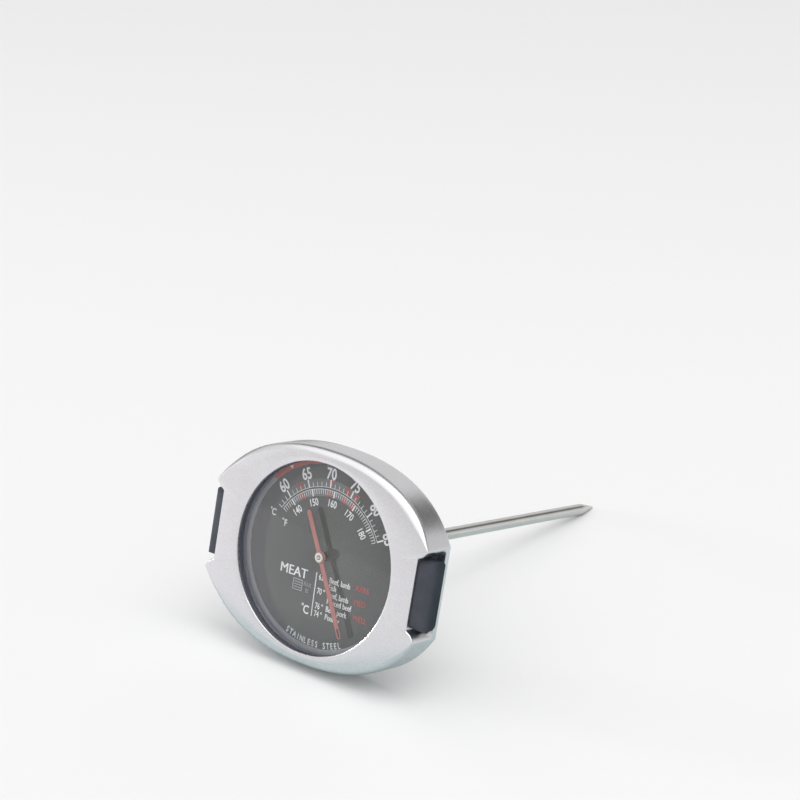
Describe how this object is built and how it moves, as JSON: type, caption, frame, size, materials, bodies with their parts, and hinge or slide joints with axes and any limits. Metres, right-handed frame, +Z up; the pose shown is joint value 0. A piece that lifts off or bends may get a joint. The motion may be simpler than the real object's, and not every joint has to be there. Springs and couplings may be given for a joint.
{
  "type": "meat thermometer",
  "caption": "Probe thermometer with an oval steel housing, a round glazed dial, side grips and a pointed stem that senses heat.",
  "frame": {"origin": "bottom centre of the box round the thermometer as it stands on the back edge of its housing and on its tip", "axes": "+Z up, +Y level from the dial towards the tip, +X to the right as the dial is read; the stem slopes down by 12.9 degrees"},
  "size_m": [0.0778, 0.1482, 0.0626],
  "materials": {
    "bezel_steel": "fine satin, brushed across",
    "stem_steel": "drawn and polished along its length",
    "hidden_steel": "mill finish",
    "grip": "matt dark navy silicone",
    "seal": "matt grey silicone",
    "glass": "clear, polished",
    "dark_plastic": "moulded, fine texture",
    "ring_plastic": "moulded, with a printed red arc and a white triangle",
    "dial": "matt dark grey enamel with printed scales",
    "pointer_red": "matt red paint",
    "hub_metal": "turned",
    "bush_brass": "turned",
    "bimetal": "rolled strip, drawn here as round wire"
  },
  "bodies": {
    "housing": {"front_bezel": "bezel_steel", "back_cover": "hidden_steel", "case_gasket": "seal", "grip_left": "grip", "grip_right": "grip", "lens_seal": "seal", "dial_carrier": "dark_plastic", "dial_plate": "dial", "upper_bearing": "bush_brass", "lower_bearing": "bush_brass", "bimetal_coil": "bimetal", "coil_anchor": "bush_brass", "stem_tube": "stem_steel", "stem_collar": "stem_steel", "stem_washer": "hidden_steel", "stem_nut": "hidden_steel"},
    "needle": {"pointer": "pointer_red", "pointer_hub": "hub_metal", "pointer_shaft": "hidden_steel"},
    "target": {"target_ring": "ring_plastic", "well_ring": "dark_plastic", "lens_glass": "glass"}
  },
  "joints": [
    {"name": "pointer_turn", "type": "hinge", "parent": "housing", "child": "needle", "pos_m": [0, -0.06744, 0.03276], "axis": [0, 0.9746, -0.2238], "range_deg": [-80, 270], "stiffness_Nm_per_rad": 0.00005},
    {"name": "target_ring_turn", "type": "hinge", "parent": "housing", "child": "target", "pos_m": [0, -0.06744, 0.03276], "axis": [0, 0.9746, -0.2238], "continuous": true}
  ]
}
